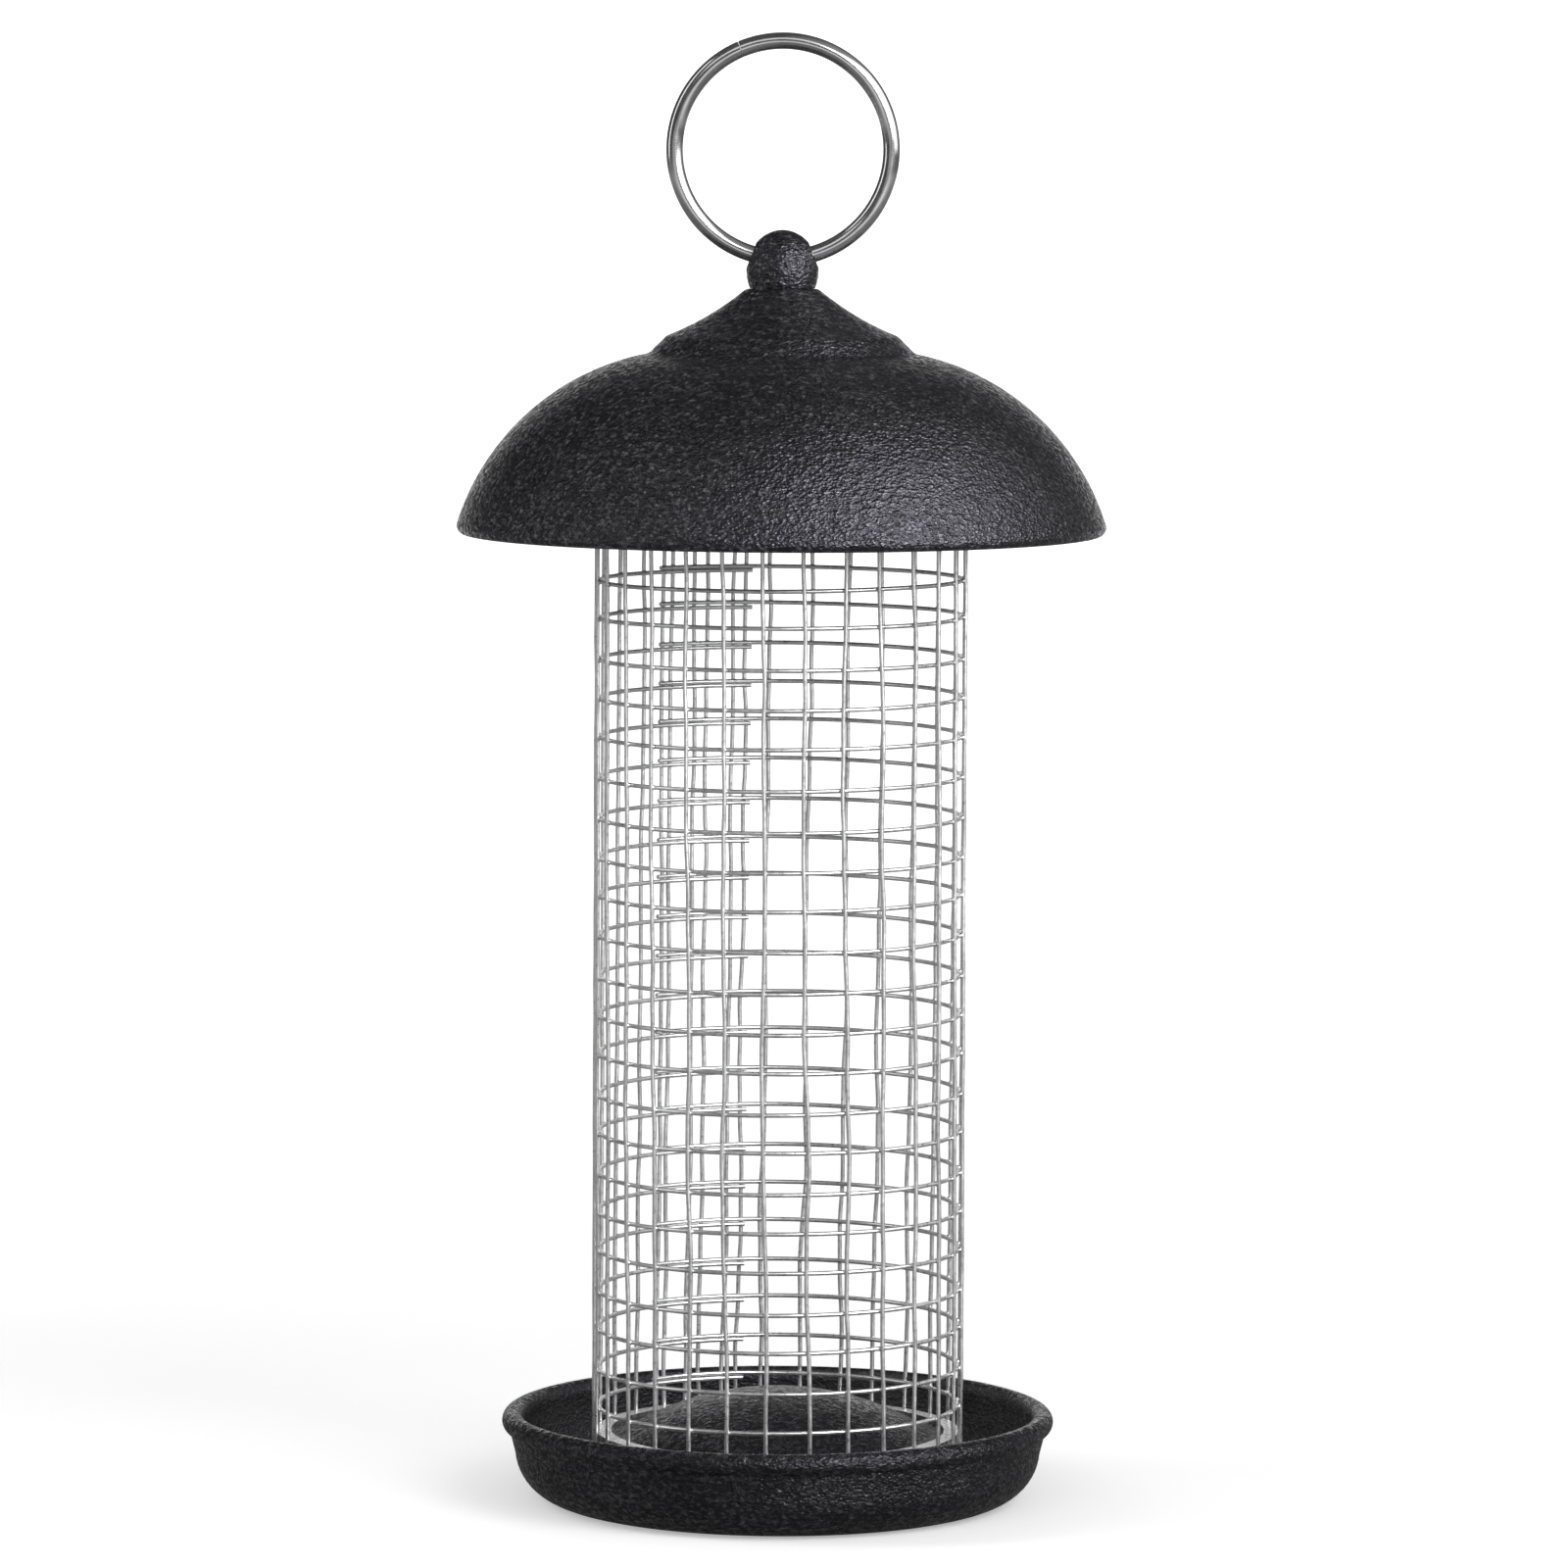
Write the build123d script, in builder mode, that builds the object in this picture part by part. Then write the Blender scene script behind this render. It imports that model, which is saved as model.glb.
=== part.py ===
from build123d import *
from math import asin, cos, degrees, radians, sin, sqrt
import os

# Peanut bird feeder: a wire mesh tube that stands in a round tray,
# under a domed roof that hangs from a ring through a ball finial.
# Millimetres. The origin is the centre of the tray's base, +Z is up, and the ring faces -Y.

# Running and seating clearances
swivel_gap = 0.1
seat_gap = 0.05
weld_gap = 0.02
slide_gap = 0.35
cut_overrun = 2.0

# Wire mesh tube: upright wires outside, hoop wires inside
mesh_outer_r = 30.15
wire_d = 0.7
hoop_pitch = 6.38
hoop_count = 25
first_hoop_rise = 4.8
upright_count = 32
upright_step = 12.56
first_upright_angle = 102.3
upright_foot_rise = 0.4
wire_stub = 1.0
wire_end_gap = 0.4

# Tray: sheet bowl with a raised boss and a shallow dome in its middle
tray_sheet = 0.9
tray_floor_width = 12.25
tray_corner_radius = 7.5
tray_wall_lean = 1.1
tray_bead_r = 1.7
tray_bead_z = 12.8
boss_z = 10.6
boss_corner_radius = 0.6
boss_foot_radius = 1.5
boss_shelf = 3.7
dome_rise = 7.1

# Foot ring: flat rim on the boss with a skirt round it, inside the mesh
foot_sheet = 0.6
foot_dome_gap = 2.0
foot_skirt_height = 5.0
rivet_drop = 2.3
rivet_shank_r = 0.7
rivet_head_r = 1.1
rivet_head_rise = 0.45
rivet_head_angle = 30
rivet_space_counts = (3, 12, 22)

# Collar: channel folded over the top edge of the mesh, with bayonet pins
collar_sheet = 0.6
collar_height = 13.62
collar_lip = 6.4
pin_count = 3
pin_first_angle = 30.0
pin_r = 1.5
pin_reach = 0.9
pin_rise = 7.8

# Roof: cone, step, dome and hemmed rim in one sheet
roof_sheet = 0.9
roof_rim_drop = 0.5
hem_r = 1.3
hem_angle = 17.5
dome_arc_r = 39.94
dome_arc_offset = 14.0
shoulder_r = 21.4
shoulder_round = 2.0
step_lean = 2.8
step_rise = 2.8
step_round = 1.5
cone_sag = 0.7
cone_rise = 7.6
neck_r = 5.8
neck_round = 1.6

# Lid cup: drawn cup under the roof, with slots for the bayonet pins
cup_sheet = 0.7
slot_leg_height = 4.8
cup_corner_radius = 1.2
slot_clearance = 0.35
lock_angle = 25.0

# Ball finial, its stud, washer and nut
ball_r = 5.8
ball_half_height = 6.5
ball_centre_rise = 2.8
ring_hole_play = 0.7
ring_hole_rise = 5.25
stud_r = 2.0
stud_cover = 0.55
stud_tail = 1.2
stud_point_chamfer = 0.3
washer_r = 4.5
washer_height = 0.8
nut_flats = 7.0
nut_height = 3.2

# Hanging ring of round wire, closed by a butt joint
ring_outer_r = 18.7
ring_wire_r = 1.35
ring_joint_angle = 113.0
ring_joint_gap = 0.15

# Sizes that follow from the values above
wire_r = wire_d / 2
upright_r = mesh_outer_r - wire_r
hoop_r = upright_r - wire_d - weld_gap
stub_angle = degrees(wire_stub / hoop_r)
lap_start_angle = first_upright_angle - stub_angle
sheet_end_angle = first_upright_angle + (upright_count - 1) * upright_step + stub_angle
lap_angle = sheet_end_angle - lap_start_angle - 360
end_gap_angle = degrees(wire_end_gap / hoop_r)
lap_lift = wire_d + seat_gap
first_hoop_z = boss_z + first_hoop_rise
top_hoop_z = first_hoop_z + (hoop_count - 1) * hoop_pitch

foot_skirt_outer_r = upright_r - wire_r - seat_gap
foot_skirt_inner_r = foot_skirt_outer_r - foot_sheet
foot_skirt_z = boss_z - foot_skirt_height
upright_foot_z = foot_skirt_z + upright_foot_rise
rivet_z = boss_z - rivet_drop
boss_r = foot_skirt_inner_r - swivel_gap
dome_base_r = boss_r - boss_shelf
foot_inner_r = dome_base_r + foot_dome_gap
tray_base_corner_r = boss_r + tray_floor_width
tray_wall_top_r = tray_base_corner_r + tray_wall_lean

collar_inner_r = mesh_outer_r + seat_gap
collar_outer_r = collar_inner_r + collar_sheet
collar_lip_outer_r = hoop_r - wire_r - seat_gap
collar_lip_inner_r = collar_lip_outer_r - collar_sheet
upright_top_z = top_hoop_z + wire_d + lap_lift
collar_fold_z = upright_top_z + seat_gap
collar_top_z = collar_fold_z + collar_sheet
collar_foot_z = collar_top_z - collar_height
pin_z = collar_foot_z + pin_rise

cup_inner_r = collar_outer_r + slide_gap
cup_outer_r = cup_inner_r + cup_sheet
cup_foot_z = pin_z - slot_leg_height
slot_half = pin_r + slot_clearance
pin_tip_r = cup_outer_r + pin_reach

roof_rim_z = collar_foot_z - roof_rim_drop
dome_arc_z = roof_rim_z + hem_r - (dome_arc_r - hem_r) * sin(radians(hem_angle))
hem_centre_r = dome_arc_offset + (dome_arc_r - hem_r) * cos(radians(hem_angle))
shoulder_z = dome_arc_z + sqrt(dome_arc_r**2 - (shoulder_r - dome_arc_offset) ** 2)
step_r = shoulder_r - step_lean
step_z = shoulder_z + step_rise
neck_z = step_z + cone_rise
under_roof_r = dome_arc_r - roof_sheet
cup_top_z = dome_arc_z + sqrt(under_roof_r**2 - (cup_outer_r - dome_arc_offset) ** 2) - seat_gap

ball_foot_z = neck_z + swivel_gap
ball_z = ball_foot_z + ball_centre_rise
ring_hole_z = ball_foot_z + ring_hole_rise
ring_hole_r = ring_wire_r + ring_hole_play
stud_top_z = ring_hole_z - ring_hole_r - stud_cover
washer_top_z = cup_top_z - cup_sheet - swivel_gap
nut_top_z = washer_top_z - washer_height
stud_foot_z = nut_top_z - nut_height - stud_tail

ring_r = ring_outer_r - ring_wire_r
ring_drop = (ring_r - sqrt(ring_r**2 - ball_r**2)) / 2
ring_z = ring_hole_z - ring_drop + ring_r


def out_direction(angle):
    """Level direction that points away from the axis at an angle from +X."""
    return Vector(cos(radians(angle)), sin(radians(angle)), 0)


def facing_plane(angle, radius, height):
    """Plane that faces outwards at a radius and height, its x along the circle."""
    side = Vector(-sin(radians(angle)), cos(radians(angle)), 0)
    away = out_direction(angle)
    return Plane(origin=away * radius + Vector(0, 0, height), x_dir=side, z_dir=away)


def section_plane(angle):
    """Upright plane through the axis, its x outwards at the angle and its y up."""
    away = out_direction(angle)
    return Plane(origin=(0, 0, 0), x_dir=away, z_dir=away.cross(Vector(0, 0, 1)))


# Upright wires of the mesh, from the boss to the collar's fold
with BuildPart() as mesh_uprights:
    with BuildSketch(Plane.XY.offset(upright_foot_z)):
        for index in range(upright_count):
            place = out_direction(first_upright_angle + index * upright_step) * upright_r
            with Locations((place.X, place.Y)):
                Circle(wire_r)
    extrude(amount=upright_top_z - upright_foot_z)
mesh_uprights.part.label = "mesh_uprights"

# Hoop wires, each nearly a full turn, with its cut end at the start of the lap
with BuildPart() as mesh_hoops:
    for index in range(hoop_count):
        with BuildSketch(section_plane(lap_start_angle + end_gap_angle)):
            with Locations((hoop_r, first_hoop_z + index * hoop_pitch)):
                Circle(wire_r)
        revolve(axis=Axis.Z, revolution_arc=360 - end_gap_angle)
mesh_hoops.part.label = "mesh_hoops"

# Lapped ends of the hoop wires, one wire above, where the sheet's end lies over its start
with BuildPart() as lap_hoops:
    for index in range(hoop_count):
        with BuildSketch(section_plane(lap_start_angle)):
            with Locations((hoop_r, first_hoop_z + index * hoop_pitch + lap_lift)):
                Circle(wire_r)
        revolve(axis=Axis.Z, revolution_arc=lap_angle)
lap_hoops.part.label = "lap_hoops"

# Tray: dome, boss, floor and wall in one sheet, with the rim rolled outwards
dome_cap_r = (dome_base_r**2 + dome_rise**2) / (2 * dome_rise)
dome_cap_angle = degrees(asin(dome_base_r / dome_cap_r))
dome_top_z = boss_z + dome_rise
bead_centre_r = tray_wall_top_r + tray_sheet
with BuildPart() as tray:
    with BuildSketch(Plane.XZ) as tray_section:
        with BuildLine():
            dome = CenterArc((0, dome_top_z - dome_cap_r), dome_cap_r, 90, -dome_cap_angle)
            rest = FilletPolyline(
                dome @ 1,
                (boss_r, boss_z),
                (boss_r, tray_sheet),
                (tray_base_corner_r, tray_sheet),
                (tray_wall_top_r, tray_bead_z),
                radius=[boss_corner_radius, boss_foot_radius, tray_corner_radius],
            )
            offset(amount=tray_sheet, side=Side.RIGHT, closed=True)
        make_face()
        with Locations((bead_centre_r, tray_bead_z)):
            Circle(tray_bead_r)
    revolve(axis=Axis.Z)
    for space in rivet_space_counts:
        rivet_angle = first_upright_angle + (space + 1 / 2) * upright_step
        with BuildSketch(facing_plane(rivet_angle, foot_skirt_outer_r, rivet_z)):
            Circle(rivet_shank_r)
        extrude(amount=-foot_sheet - tray_sheet - cut_overrun, mode=Mode.SUBTRACT)
tray.part.label = "tray"

# Foot ring: rests on the boss, its skirt inside the upright wires
with BuildPart() as foot_ring:
    with BuildSketch(Plane.XZ):
        with BuildLine():
            Polyline(
                (foot_inner_r, boss_z),
                (foot_skirt_inner_r, boss_z),
                (foot_skirt_inner_r, foot_skirt_z),
                (foot_skirt_outer_r, foot_skirt_z),
                (foot_skirt_outer_r, boss_z + foot_sheet),
                (foot_inner_r, boss_z + foot_sheet),
                close=True,
            )
        make_face()
    revolve(axis=Axis.Z)
    for space in rivet_space_counts:
        rivet_angle = first_upright_angle + (space + 1 / 2) * upright_step
        with BuildSketch(facing_plane(rivet_angle, foot_skirt_outer_r, rivet_z)):
            Circle(rivet_shank_r)
        extrude(amount=-foot_sheet - cut_overrun, mode=Mode.SUBTRACT)
foot_ring.part.label = "foot_ring"

# Rivets through the skirt and the boss, between the upright wires
with BuildPart() as foot_rivets:
    for space in rivet_space_counts:
        rivet_angle = first_upright_angle + (space + 1 / 2) * upright_step
        with BuildSketch(facing_plane(rivet_angle, foot_skirt_outer_r, rivet_z)):
            Circle(rivet_head_r)
        extrude(amount=rivet_head_rise, taper=rivet_head_angle)
        with BuildSketch(facing_plane(rivet_angle, foot_skirt_outer_r, rivet_z)):
            Circle(rivet_shank_r)
        extrude(amount=-foot_sheet - swivel_gap - tray_sheet - rivet_head_rise)
foot_rivets.part.label = "foot_rivets"

# Collar: channel section folded over the top edge of the mesh
with BuildPart() as top_collar:
    with BuildSketch(Plane.XZ):
        with BuildLine():
            Polyline(
                (collar_inner_r, collar_foot_z),
                (collar_outer_r, collar_foot_z),
                (collar_outer_r, collar_top_z),
                (collar_lip_inner_r, collar_top_z),
                (collar_lip_inner_r, collar_top_z - collar_lip),
                (collar_lip_outer_r, collar_top_z - collar_lip),
                (collar_lip_outer_r, collar_fold_z),
                (collar_inner_r, collar_fold_z),
                close=True,
            )
        make_face()
    revolve(axis=Axis.Z)
    for index in range(pin_count):
        pin_angle = pin_first_angle + index * 360 / pin_count
        with BuildSketch(facing_plane(pin_angle, collar_inner_r, pin_z)):
            Circle(pin_r)
        extrude(amount=collar_sheet + cut_overrun, mode=Mode.SUBTRACT)
top_collar.part.label = "top_collar"

# Bayonet pins, set in the collar and standing out through the cup's slots
with BuildPart() as bayonet_pins:
    for index in range(pin_count):
        pin_angle = pin_first_angle + index * 360 / pin_count
        with BuildSketch(facing_plane(pin_angle, collar_inner_r + seat_gap, pin_z)):
            Circle(pin_r)
        extrude(amount=pin_tip_r - collar_inner_r - seat_gap)
bayonet_pins.part.label = "bayonet_pins"

# Roof: concave cone, step and dome, hemmed at the rim, with the stud's hole at the top
cone_middle = ((neck_r + step_r) / 2, (neck_z + step_z) / 2 - cone_sag)
shoulder_angle = degrees(asin((shoulder_z - dome_arc_z) / dome_arc_r))
with BuildPart() as roof_shell:
    with BuildSketch(Plane.XZ):
        with BuildLine():
            top = Line((stud_r + swivel_gap, neck_z), (neck_r, neck_z))
            cone = ThreePointArc(top @ 1, cone_middle, (step_r, step_z))
            step = Line(cone @ 1, (shoulder_r, shoulder_z))
            CenterArc((dome_arc_offset, dome_arc_z), dome_arc_r, shoulder_angle, hem_angle - shoulder_angle)
            offset(amount=roof_sheet, side=Side.RIGHT, closed=True)
        make_face()
        with Locations((hem_centre_r, roof_rim_z + hem_r)):
            Circle(hem_r)
    revolve(axis=Axis.Z)
    for height, radius in ((shoulder_z, shoulder_round), (step_z, step_round), (neck_z, neck_round)):
        level_edges = roof_shell.edges().filter_by(lambda e: abs(e.center().Z - height) < weld_gap)
        fillet(level_edges.sort_by(SortBy.LENGTH)[-1], radius=radius)
roof_shell.part.label = "roof_shell"

# Lid cup: plate and skirt, with an open leg up and a level leg round for each pin
with BuildPart() as lid_cup:
    with BuildSketch(Plane.XY.offset(cup_foot_z)):
        Circle(cup_outer_r)
    extrude(amount=cup_top_z - cup_foot_z)
    fillet(lid_cup.faces().sort_by(Axis.Z)[-1].edges(), radius=cup_corner_radius)
    with BuildSketch(Plane.XY.offset(cup_foot_z)):
        Circle(cup_inner_r)
    extrude(amount=cup_top_z - cup_sheet - cup_foot_z, mode=Mode.SUBTRACT)
    with BuildSketch(Plane.XY.offset(cup_foot_z)):
        Circle(stud_r + swivel_gap)
    extrude(amount=cup_top_z - cup_foot_z, mode=Mode.SUBTRACT)
    for index in range(pin_count):
        pin_angle = pin_first_angle + index * 360 / pin_count
        with BuildSketch(facing_plane(pin_angle, collar_outer_r, pin_z)):
            Circle(slot_half)
            with Locations((0, -slot_leg_height / 2)):
                Rectangle(2 * slot_half, slot_leg_height)
        extrude(amount=cup_outer_r - collar_outer_r + cut_overrun, mode=Mode.SUBTRACT)
        with BuildSketch(facing_plane(pin_angle + lock_angle, collar_outer_r, pin_z)):
            Circle(slot_half)
        extrude(amount=cup_outer_r - collar_outer_r + cut_overrun, mode=Mode.SUBTRACT)
        with BuildSketch(section_plane(pin_angle)):
            with Locations(((collar_outer_r + cup_outer_r + cut_overrun) / 2, pin_z)):
                Rectangle(cup_outer_r + cut_overrun - collar_outer_r, 2 * slot_half)
        revolve(axis=Axis.Z, revolution_arc=lock_angle, mode=Mode.SUBTRACT)
lid_cup.part.label = "lid_cup"

# Ball finial with a cross hole for the ring and a blind hole for the stud
with BuildPart() as finial_ball:
    with BuildSketch(Plane.XZ):
        with BuildLine():
            foot_angle = degrees(asin(-ball_centre_rise / ball_half_height))
            side = EllipticalCenterArc(
                (0, ball_z), ball_r, ball_half_height, start_angle=foot_angle, arc_size=90 - foot_angle
            )
            Polyline(side @ 1, (0, ball_foot_z), side @ 0)
        make_face()
    revolve(axis=Axis.Z)
    with BuildSketch(Plane.YZ.offset(-ball_r)):
        with Locations((0, ring_hole_z)):
            Circle(ring_hole_r)
    extrude(amount=2 * ball_r, mode=Mode.SUBTRACT)
    with BuildSketch(Plane.XY.offset(ball_foot_z)):
        Circle(stud_r)
    extrude(amount=stud_top_z - ball_foot_z, mode=Mode.SUBTRACT)
finial_ball.part.label = "finial_ball"

# Stud from the ball down through the roof and the cup
with BuildPart() as finial_stud:
    with BuildSketch(Plane.XY.offset(stud_foot_z)):
        Circle(stud_r)
    extrude(amount=stud_top_z - stud_foot_z)
    chamfer(finial_stud.faces().sort_by(Axis.Z)[0].edges(), length=stud_point_chamfer)
finial_stud.part.label = "finial_stud"

# Washer under the cup's plate
with BuildPart() as stud_washer:
    with BuildSketch(Plane.XY.offset(nut_top_z)):
        Circle(washer_r)
        Circle(stud_r, mode=Mode.SUBTRACT)
    extrude(amount=washer_height)
stud_washer.part.label = "stud_washer"

# Nut on the stud, against the washer
with BuildPart() as stud_nut:
    with BuildSketch(Plane.XY.offset(nut_top_z - nut_height)):
        RegularPolygon(nut_flats / 2, 6, major_radius=False)
        Circle(stud_r, mode=Mode.SUBTRACT)
    extrude(amount=nut_height)
stud_nut.part.label = "stud_nut"

# Hanging ring, upright in the ball's cross hole, with its butt joint near the top
joint_direction = Vector(cos(radians(ring_joint_angle)), 0, sin(radians(ring_joint_angle)))
joint_gap_angle = degrees(ring_joint_gap / ring_r)
ring_centre = Vector(0, 0, ring_z)
joint_plane = Plane(origin=ring_centre, x_dir=joint_direction, z_dir=joint_direction.cross(Vector(0, 1, 0)))
with BuildPart() as hanging_ring:
    with BuildSketch(joint_plane):
        with Locations((ring_r, 0)):
            Circle(ring_wire_r)
    revolve(axis=Axis(ring_centre, (0, 1, 0)), revolution_arc=360 - joint_gap_angle)
hanging_ring.part.label = "hanging_ring"

# Written files, one for each piece
os.makedirs("parts", exist_ok=True)
pieces = (
    tray,
    foot_ring,
    foot_rivets,
    mesh_uprights,
    mesh_hoops,
    lap_hoops,
    top_collar,
    bayonet_pins,
    roof_shell,
    lid_cup,
    finial_ball,
    finial_stud,
    stud_washer,
    stud_nut,
    hanging_ring,
)
for piece in pieces:
    export_step(piece.part, f"parts/{piece.part.label}.step")
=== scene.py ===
"""Looks of the peanut bird feeder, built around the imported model.

Everything is in metres, in the model's frame: the tray's base is at z = 0 and the front faces -Y.
"""

import math
import random

import bmesh
import bpy
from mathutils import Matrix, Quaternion, Vector, noise


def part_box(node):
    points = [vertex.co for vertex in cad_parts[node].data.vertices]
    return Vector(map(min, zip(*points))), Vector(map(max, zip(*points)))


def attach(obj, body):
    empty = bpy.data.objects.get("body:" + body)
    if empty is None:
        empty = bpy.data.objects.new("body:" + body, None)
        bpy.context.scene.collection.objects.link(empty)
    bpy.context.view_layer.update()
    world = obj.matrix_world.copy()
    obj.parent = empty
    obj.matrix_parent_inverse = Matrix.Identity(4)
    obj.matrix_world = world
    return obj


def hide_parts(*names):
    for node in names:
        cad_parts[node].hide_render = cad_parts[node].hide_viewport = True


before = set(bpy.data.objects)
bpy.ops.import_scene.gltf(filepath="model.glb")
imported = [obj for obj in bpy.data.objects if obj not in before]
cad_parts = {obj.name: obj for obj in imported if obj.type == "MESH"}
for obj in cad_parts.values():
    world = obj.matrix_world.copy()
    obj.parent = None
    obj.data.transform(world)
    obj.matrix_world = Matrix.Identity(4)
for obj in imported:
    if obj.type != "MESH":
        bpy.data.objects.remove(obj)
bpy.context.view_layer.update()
MM = 0.001

# Camera, as the photograph was taken: nearly level, from far away
CAMERA_DISTANCE = 1277 * MM
CAMERA_HEIGHT = 230.4 * MM
AIM_HEIGHT = 116.2 * MM
AIM_SIDE = 0.6 * MM
PIXELS_PER_METRE = 6337.0
PHOTO_PIXELS = 1600
SENSOR = 36.0
CAMERA_ROLL = math.radians(0.25)
CLIP_NEAR, CLIP_FAR = 0.05, 50.0


def make_camera():
    """Camera at the photograph's angle and framing, with no shift."""
    data = bpy.data.cameras.new("camera")
    camera = bpy.data.objects.new("camera", data)
    bpy.context.scene.collection.objects.link(camera)
    aim = Vector((AIM_SIDE, 0, AIM_HEIGHT))
    camera.location = Vector((AIM_SIDE, -CAMERA_DISTANCE, CAMERA_HEIGHT))
    sight = aim - camera.location
    turn = sight.to_track_quat("-Z", "Y")
    camera.rotation_mode = "QUATERNION"
    camera.rotation_quaternion = turn @ Quaternion((0, 0, 1), CAMERA_ROLL)
    data.sensor_width = SENSOR
    data.lens = SENSOR * PIXELS_PER_METRE * sight.length / PHOTO_PIXELS
    data.clip_start, data.clip_end = CLIP_NEAR, CLIP_FAR
    bpy.context.scene.camera = camera


make_camera()


# Mesh helpers
CREASE_DEGREES = 40.0
ON_AXIS = 1e-6


def arc(centre_r, centre_z, radius, start, end, steps):
    """Points (r, z) of an arc, angles in degrees from the +r direction."""
    points = []
    for i in range(steps + 1):
        a = math.radians(start + (end - start) * i / steps)
        points.append((centre_r + radius * math.cos(a), centre_z + radius * math.sin(a)))
    return points


def three_point_arc(first, middle, last, steps):
    """Points (r, z) of the arc through three points."""
    (x1, y1), (x2, y2), (x3, y3) = first, middle, last
    d = 2 * (x1 * (y2 - y3) + x2 * (y3 - y1) + x3 * (y1 - y2))
    s1, s2, s3 = x1 * x1 + y1 * y1, x2 * x2 + y2 * y2, x3 * x3 + y3 * y3
    cx = (s1 * (y2 - y3) + s2 * (y3 - y1) + s3 * (y1 - y2)) / d
    cy = (s1 * (x3 - x2) + s2 * (x1 - x3) + s3 * (x2 - x1)) / d
    start = math.degrees(math.atan2(y1 - cy, x1 - cx))
    end = math.degrees(math.atan2(y3 - cy, x3 - cx))
    return arc(cx, cy, math.hypot(x1 - cx, y1 - cy), start, end, steps)


def rounded(points, radii, steps=6):
    """Points of a line of (r, z) corners, each inner corner rounded by its radius."""
    out = [points[0]]
    for i in range(1, len(points) - 1):
        corner, radius = Vector(points[i]), radii[i - 1]
        back = (Vector(points[i - 1]) - corner).normalized()
        on = (Vector(points[i + 1]) - corner).normalized()
        half = back.angle(on) / 2
        if radius <= 0:
            out.append(tuple(corner))
            continue
        reach = radius / math.tan(half)
        centre = corner + (back + on).normalized() * (radius / math.sin(half))
        first = corner + back * reach - centre
        last = corner + on * reach - centre
        sweep = first.angle_signed(last)
        for k in range(steps + 1):
            a = math.atan2(first.y, first.x) - sweep * k / steps
            out.append((centre.x + radius * math.cos(a), centre.y + radius * math.sin(a)))
    out.append(points[-1])
    return out


def new_object(name, vertices, faces, sharp_degrees=CREASE_DEGREES):
    """Mesh object with smooth faces and sharp creases above an angle."""
    mesh = bpy.data.meshes.new(name)
    mesh.from_pydata([tuple(v) for v in vertices], [], faces)
    work = bmesh.new()
    work.from_mesh(mesh)
    bmesh.ops.recalc_face_normals(work, faces=work.faces)
    limit = math.radians(sharp_degrees)
    for face in work.faces:
        face.smooth = True
    for edge in work.edges:
        if len(edge.link_faces) == 2 and edge.calc_face_angle(0) > limit:
            edge.smooth = False
    work.to_mesh(mesh)
    work.free()
    obj = bpy.data.objects.new(name, mesh)
    bpy.context.scene.collection.objects.link(obj)
    return obj


def lathe(name, profile, segments=256):
    """Closed profile of (r, z) points in millimetres, turned round the Z axis."""
    vertices, rings = [], []
    for r, z in profile:
        if r < ON_AXIS:
            rings.append([len(vertices)])
            vertices.append((0, 0, z * MM))
            continue
        rings.append(list(range(len(vertices), len(vertices) + segments)))
        for i in range(segments):
            a = 2 * math.pi * i / segments
            vertices.append((r * MM * math.cos(a), r * MM * math.sin(a), z * MM))
    faces = []
    for first, second in zip(rings, rings[1:] + rings[:1]):
        if len(first) == 1 and len(second) == 1:
            continue
        for i in range(segments):
            j = (i + 1) % segments
            if len(first) == 1:
                faces.append((first[0], second[i], second[j]))
            elif len(second) == 1:
                faces.append((first[i], second[0], first[j]))
            else:
                faces.append((first[i], second[i], second[j], first[j]))
    return new_object(name, vertices, faces)


def add_tube(vertices, faces, path, radius, sides, frame_out):
    """Adds a capped round wire along a path.

    The radius is a number or a function of the point's index. frame_out(i) gives a direction
    across the wire at point i.
    """
    start = len(vertices)
    for i, point in enumerate(path):
        ahead = (path[min(i + 1, len(path) - 1)] - path[max(i - 1, 0)]).normalized()
        across = frame_out(i)
        across = (across - ahead * across.dot(ahead)).normalized()
        up = ahead.cross(across)
        size = radius(i) if callable(radius) else radius
        for k in range(sides):
            a = 2 * math.pi * k / sides
            vertices.append(point + (across * math.cos(a) + up * math.sin(a)) * size)
    for i in range(len(path) - 1):
        for k in range(sides):
            a, b = start + i * sides + k, start + i * sides + (k + 1) % sides
            faces.append((a, b, b + sides, a + sides))
    faces.append(tuple(start + k for k in reversed(range(sides))))
    last = start + (len(path) - 1) * sides
    faces.append(tuple(last + k for k in range(sides)))


def around(radius, angle, z):
    """Point at a radius, an angle in degrees and a height, all in millimetres."""
    a = math.radians(angle)
    return Vector((radius * math.cos(a), radius * math.sin(a), z)) * MM


# Material helpers

def material(name):
    """New node material with its tree, shader and a coordinate node."""
    made = bpy.data.materials.new(name)
    made.use_nodes = True
    tree = made.node_tree
    shader = tree.nodes["Principled BSDF"]
    where = tree.nodes.new("ShaderNodeTexCoord")
    return made, tree, shader, where.outputs["Object"]


def stretch(tree, coordinates, scale):
    """Coordinates with a different scale along each axis."""
    node = tree.nodes.new("ShaderNodeMapping")
    node.inputs["Scale"].default_value = scale
    tree.links.new(coordinates, node.inputs["Vector"])
    return node.outputs["Vector"]


def noise_of(tree, coordinates, scale, detail=3.0, roughness=0.5):
    """Noise value, with its scale in turns per metre."""
    node = tree.nodes.new("ShaderNodeTexNoise")
    node.inputs["Scale"].default_value = scale
    node.inputs["Detail"].default_value = detail
    node.inputs["Roughness"].default_value = roughness
    tree.links.new(coordinates, node.inputs["Vector"])
    return node.outputs["Fac"]


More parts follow.
